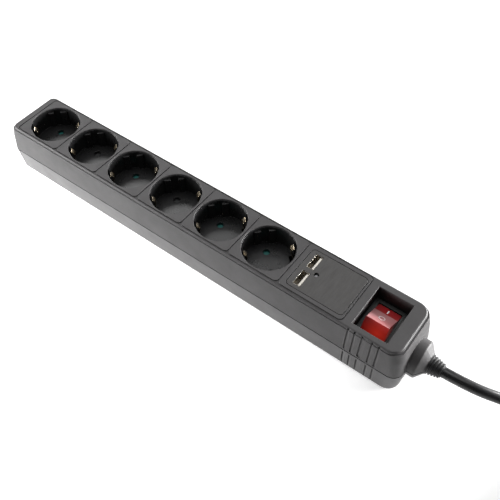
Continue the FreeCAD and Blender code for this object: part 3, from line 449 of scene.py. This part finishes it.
def make_marks():
    """White line on one half of the rocker and white ring on the other, printed flush with the face."""
    place = Matrix.Translation(ROCKER_PIVOT) @ ROCKER_TILT
    proud = 0.06 * MM

    def face_height(y):
        """Height of the rocker's top face above its axle, before the tilt."""
        edge = -ROCKER_HALF if y < VALLEY_Y else ROCKER_HALF
        return VALLEY_HEIGHT + (ROCKER_HEIGHT - VALLEY_HEIGHT) * (y - VALLEY_Y) / (edge - VALLEY_Y)

    def sheet_piece(name, loops):
        """A thin raised print from rows of (x, y) points in mm; each row is one side of the strip."""
        bm = bmesh.new()
        rows = []
        for loop in loops:
            rows.append([bm.verts.new((x * MM, y * MM, face_height(y) * MM + proud)) for x, y in loop])
        for i in range(len(rows[0]) - 1):
            bm.faces.new((rows[0][i], rows[0][i + 1], rows[1][i + 1], rows[1][i]))
        bmesh.ops.remove_doubles(bm, verts=bm.verts, dist=0.01 * MM)
        solid = bmesh.ops.extrude_face_region(bm, geom=list(bm.faces))
        lowered = [v for v in solid["geom"] if isinstance(v, bmesh.types.BMVert)]
        bmesh.ops.translate(bm, verts=lowered, vec=(0, 0, -2 * proud))
        bmesh.ops.recalc_face_normals(bm, faces=bm.faces)
        mesh = bpy.data.meshes.new(name)
        bm.to_mesh(mesh)
        bm.free()
        mesh.transform(place)
        piece = bpy.data.objects.new(name, mesh)
        bpy.context.scene.collection.objects.link(piece)
        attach(piece, "rocker")
        return piece

    line_half, line_places = 0.45, (5.2, 6.5, 7.8, 9.2)
    line = [[(side * line_half, y) for y in line_places] for side in (-1, 1)]
    ring_y, ring_outer, ring_inner, steps = -4.0, 2.35, 1.9, 48
    turn = [2 * math.pi * i / steps for i in range(steps + 1)]
    ring = [[(r * math.cos(a), ring_y + r * math.sin(a)) for a in turn] for r in (ring_outer, ring_inner)]
    return sheet_piece("mark_on", line), sheet_piece("mark_off", ring)


# ---------------------------------------------------------------- materials

def dress_all():
    # Box of the switch recess, whose walls get painted shade with depth
    recess = ((FIRST_X + RECESS_LEFT, RECESS_NEAR), (FIRST_X + RECESS_RIGHT, RECESS_FAR), TOP - MM)
    dress(plastic("housing", (0.034, 0.032, 0.033), (0.050, 0.048, 0.049), (0.5, 0.6),
                  0.0005, 0.00002, 0.00025, pit=recess), "upper_housing")
    # The lower shell's lip above SEAM_LOW is painted near black as shade in the seam gap
    dress(plastic("base", (0.041, 0.039, 0.040), (0.058, 0.056, 0.057), (0.38, 0.48),
                  0.0005, 0.00002, 0.00025, painted_seam_shade_above=SEAM_LOW), "lower_housing")
    dress(plastic("cover", (0.032, 0.030, 0.029), (0.050, 0.048, 0.047), (0.5, 0.62), 0.0005, 0.00003, 0.0002,
                  cloud=0.012, stretch=(6, 1, 1)), "usb_cover_plate")
    wells = ["socket_cup_%d" % n for n in range(1, 7)]
    dress(plastic("well", (0.012, 0.012, 0.0125), (0.017, 0.017, 0.0175), (0.25, 0.33),
                  0.0009, 0.000006, 0.0002, 0.15), *wells)
    shutters = ["shutter_%d" % n for n in (1, 3, 5, 6)]
    dress(plastic("shutter_green", (0.01, 0.11, 0.1), (0.014, 0.14, 0.125), (0.35, 0.5)), *shutters)
    dress(plastic("shutter_grey", (0.035, 0.036, 0.037), (0.05, 0.051, 0.052), (0.35, 0.5)),
          "shutter_2", "shutter_4")
    clips = ["earth_clip_%d" % n for n in range(1, 7)]
    dress(metal("clip_metal", (0.95, 0.85, 0.68), (0.58, 0.42, 0.22), (0.12, 0.26), (1, 1, 0.1)), *clips)
    dress(metal("bar_brass", (0.78, 0.6, 0.3), (0.6, 0.42, 0.2), (0.2, 0.4), (0.1, 1, 1)),
          "live_busbar", "neutral_busbar", "earth_busbar", "usb_contacts")
    dress(metal("zinc", (0.62, 0.62, 0.6), (0.42, 0.42, 0.42)),
          "housing_screws", "usb_board_screws", "clamp_screws", "shutter_springs")
    dress(metal("port_steel", (0.5, 0.47, 0.42), (0.26, 0.24, 0.21), (0.16, 0.3)),
          "usb_shell_1", "usb_shell_2")
    dress(metal("nickel", (0.72, 0.7, 0.66), (0.55, 0.53, 0.5), (0.1, 0.22)),
          "plug_pins", "plug_earth_contacts", "switch_terminals")
    dress(plastic("tongue", (0.8, 0.76, 0.68), (0.88, 0.85, 0.78), (0.3, 0.42), edge=0.0),
          "usb_tongue_1", "usb_tongue_2")
    dress(plastic("print_white", (0.9, 0.89, 0.89), (0.95, 0.94, 0.94), (0.35, 0.5), edge=0.0, rounding=0.0),
          "mark_on", "mark_off")
    dress(plastic("laminate", (0.02, 0.12, 0.04), (0.03, 0.16, 0.06), (0.3, 0.4)), "usb_circuit_board")
    dress(plastic("component", (0.02, 0.02, 0.022), (0.04, 0.04, 0.045), (0.3, 0.5)), "usb_board_parts")
    dress(plastic("lens", (0.32, 0.32, 0.34), (0.45, 0.45, 0.47), (0.12, 0.2), edge=0.0, coat=0.5),
          "status_led")
    dress(plastic("bezel", (0.018, 0.019, 0.0185), (0.026, 0.028, 0.027), (0.35, 0.5),
                  0.0006, 0.000015, 0.0003), "switch_frame")
    dress(plastic("clamp", (0.25, 0.25, 0.25), (0.32, 0.32, 0.32)), "cord_clamp")
    dress(lit_plastic("lamp", (0.8, 0.35, 0.2), (0.6, 0.2, 0.1)), "switch_lamp")
    low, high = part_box("rocker")
    lamp = (high.x - 0.007, low.y + 0.002, high.z - 0.006)
    valley = Matrix.Translation(ROCKER_PIVOT) @ ROCKER_TILT @ Vector((0.0, VALLEY_Y * MM, VALLEY_HEIGHT * MM))
    slope = (ROCKER_HEIGHT - VALLEY_HEIGHT) / (ROCKER_HALF + VALLEY_Y)
    normal = (ROCKER_TILT @ Vector((0.0, slope, 1.0))).normalized()
    # Pale pink painted glare on the rocker's lower half, where the light glances off it
    painted_glare = ((0.46, 0.21, 0.215), valley, normal, valley.y)
    dress(lit_plastic("rocker_red", (0.34, 0.005, 0.007), (0.26, 0.003, 0.005), (0.4, 0.5),
                      ((1.0, 0.05, 0.02), 0.28, lamp, 0.013), painted_glare), "rocker")
    dress(rubber("cord_sheath", (0.006, 0.006, 0.0065), (0.012, 0.012, 0.013), (0.26, 0.4)),
          "cord", "inner_cord")
    dress(rubber("sleeve", (0.009, 0.009, 0.0095), (0.018, 0.018, 0.019), (0.38, 0.52), rounding=0.0002),
          "strain_relief")
    dress(plastic("tie", (0.012, 0.012, 0.0125), (0.02, 0.02, 0.0205), (0.35, 0.5), 0.0005, 0.00002),
          "cord_ties")
    dress(rubber("plug_shell", (0.01, 0.01, 0.0105), (0.018, 0.018, 0.019), (0.4, 0.55),
                 0.0006, 0.00003, 0.0003), "plug_body")
    wires = (
        ("brown", (0.12, 0.045, 0.02), "live_in", "live_out"),
        ("blue", (0.02, 0.09, 0.35), "neutral_in", "neutral_out"),
        ("earth_green", (0.3, 0.42, 0.03), "earth"),
    )
    for name, colour, *which in wires:
        lighter = [c * 1.25 for c in colour]
        dress(plastic("wire_" + name, colour, lighter, (0.3, 0.4), edge=0.0), *["wire_" + w for w in which])


make_camera()
cord = make_cord()
make_stage()
make_light()
make_marks()
dress_all()
